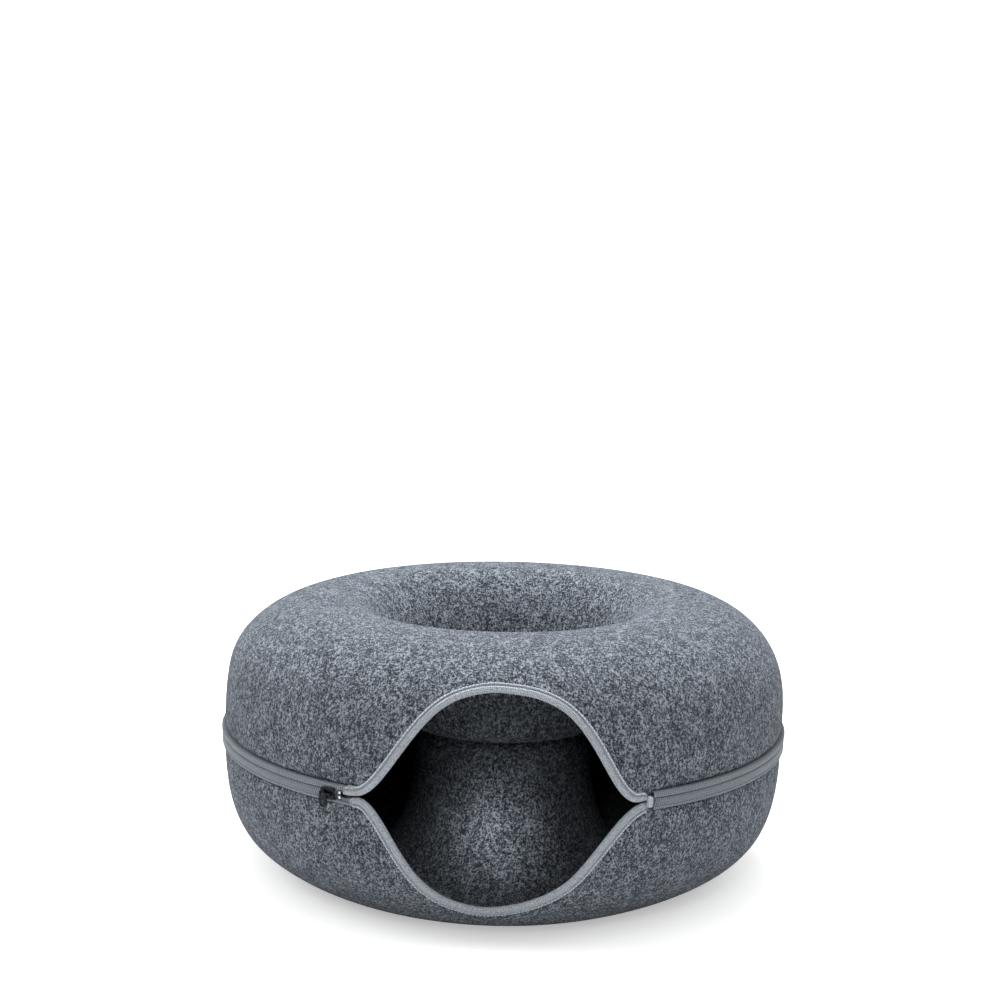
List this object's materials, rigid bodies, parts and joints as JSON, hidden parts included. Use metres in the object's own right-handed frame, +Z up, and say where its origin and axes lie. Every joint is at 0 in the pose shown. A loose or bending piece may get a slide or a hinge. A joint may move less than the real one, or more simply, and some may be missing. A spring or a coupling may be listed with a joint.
{
  "type": "felt cat cave",
  "caption": "Ring-shaped cat cave of moulded felt: a bell-shaped opening with bound edges leads into a round tunnel, and a zip joins the halves.",
  "frame": {"origin": "on the floor, under the middle of the box around the cave", "axes": "+Z up, -Y out of the opening, +X to the right of someone who looks into the opening"},
  "size_m": [0.5066, 0.4903, 0.245],
  "materials": {
    "grey_felt": "needled felt, heathered blue-grey, matt with fine fibres",
    "edge_tape": "woven binding tape, light blue-grey, slightly silky",
    "zip_tape": "woven zip tape, blue-grey, matt",
    "zip_coil": "moulded coil, satin",
    "dark_metal": "dark plated, satin",
    "stop_metal": "bright crimped metal"
  },
  "bodies": {
    "root": {"upper_shell": "grey_felt", "lower_shell": "grey_felt", "binding_upper": "edge_tape", "binding_lower": "edge_tape", "zip_tape_upper": "zip_tape", "zip_tape_lower": "zip_tape", "zip_coil": "zip_coil", "zip_slider": "dark_metal", "zip_pull": "dark_metal", "zip_stop_upper": "stop_metal", "zip_stop_lower": "stop_metal", "zip_end_tab": "zip_tape"}
  },
  "joints": []
}
